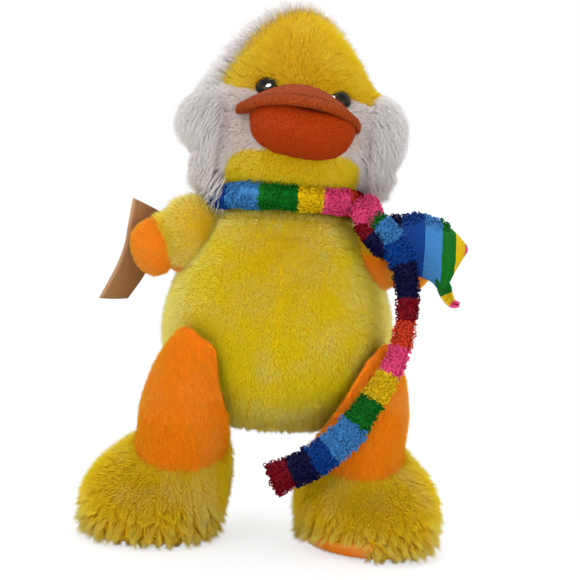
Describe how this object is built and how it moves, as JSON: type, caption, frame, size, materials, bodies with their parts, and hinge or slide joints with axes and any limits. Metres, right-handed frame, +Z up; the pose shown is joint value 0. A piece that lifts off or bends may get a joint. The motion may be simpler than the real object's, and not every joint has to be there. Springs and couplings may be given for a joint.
{
  "type": "plush duck",
  "caption": "Stuffed toy duck standing on flat soles, with pile fur, a felt bill, safety eyes, stubby wings, boot-shaped feet and a striped knit scarf.",
  "frame": {"origin": "on the floor, under the middle of the duck's bounding box", "axes": "+Z up from the soles to the crown, -Y the way the duck faces, +X towards the duck's own left side"},
  "size_m": [0.2142, 0.1592, 0.3174],
  "materials": {
    "lemon_plush": "long pile",
    "gold_plush": "long pile",
    "white_plush": "long pile",
    "orange_plush": "short pile",
    "bill_felt": "felt",
    "scarf_knit": "striped knit",
    "stuffing": "fibre fill",
    "eye_plastic": "polished",
    "clear_plastic": "moulded",
    "kraft_card": "plain kraft card"
  },
  "bodies": {
    "body": {"body_cover": "lemon_plush", "body_stuffing": "stuffing", "tail": "lemon_plush", "scarf_neck_band": "scarf_knit", "scarf_knot": "scarf_knit", "scarf_hanging_tail": "scarf_knit"},
    "head": {"head_cap": "gold_plush", "chin_patch": "gold_plush", "head_back": "white_plush", "cheek_left": "white_plush", "cheek_right": "white_plush", "upper_bill": "bill_felt", "lower_bill": "bill_felt", "bill_stuffing": "stuffing", "eye_left": "eye_plastic", "eye_right": "eye_plastic", "eye_washer_left": "clear_plastic", "eye_washer_right": "clear_plastic", "head_stuffing": "stuffing"},
    "right_wing": {"right_sleeve": "gold_plush", "right_hand": "orange_plush", "right_wing_stuffing": "stuffing", "tag_fastener": "clear_plastic"},
    "tag": {"kraft_tag": "kraft_card"},
    "left_wing": {"left_sleeve": "gold_plush", "left_hand": "orange_plush", "left_wing_stuffing": "stuffing", "scarf_flared_end": "scarf_knit"},
    "right_leg": {"right_thigh": "orange_plush", "right_foot": "gold_plush", "right_sole": "orange_plush", "right_leg_stuffing": "stuffing"},
    "left_leg": {"left_thigh": "orange_plush", "left_foot": "gold_plush", "left_sole": "orange_plush", "left_leg_stuffing": "stuffing"}
  },
  "joints": [
    {"name": "head_turn", "type": "hinge", "parent": "body", "child": "head", "pos_m": [0.00208, 0.0058, 0.198], "axis": [0, 0, 1], "range_deg": [-45, 30], "stiffness_Nm_per_rad": 0.5},
    {"name": "right_wing_swing", "type": "hinge", "parent": "body", "child": "right_wing", "pos_m": [-0.04444, -0.01504, 0.17842], "axis": [0, 0, 1], "range_deg": [-10, 35], "stiffness_Nm_per_rad": 0.08},
    {"name": "left_wing_swing", "type": "hinge", "parent": "body", "child": "left_wing", "pos_m": [0.0486, -0.01504, 0.17842], "axis": [0, 0, -1], "range_deg": [-10, 35], "stiffness_Nm_per_rad": 0.08, "deforming": ["scarf_flared_end", "scarf_hanging_tail"]},
    {"name": "right_leg_swing", "type": "hinge", "parent": "body", "child": "right_leg", "pos_m": [-0.03892, -0.0372, 0.122], "axis": [-1, 0, 0], "range_deg": [-6, 80], "stiffness_Nm_per_rad": 1.2},
    {"name": "left_leg_swing", "type": "hinge", "parent": "body", "child": "left_leg", "pos_m": [0.05508, -0.0212, 0.122], "axis": [-1, 0, 0], "range_deg": [-6, 80], "stiffness_Nm_per_rad": 1.2, "deforming": ["scarf_hanging_tail"]},
    {"name": "tag_swing", "type": "hinge", "parent": "right_wing", "child": "tag", "pos_m": [-0.08729, 0.00125, 0.16418], "axis": [-0.7431, 0.6691, 0], "range_deg": [-20, 20]}
  ]
}
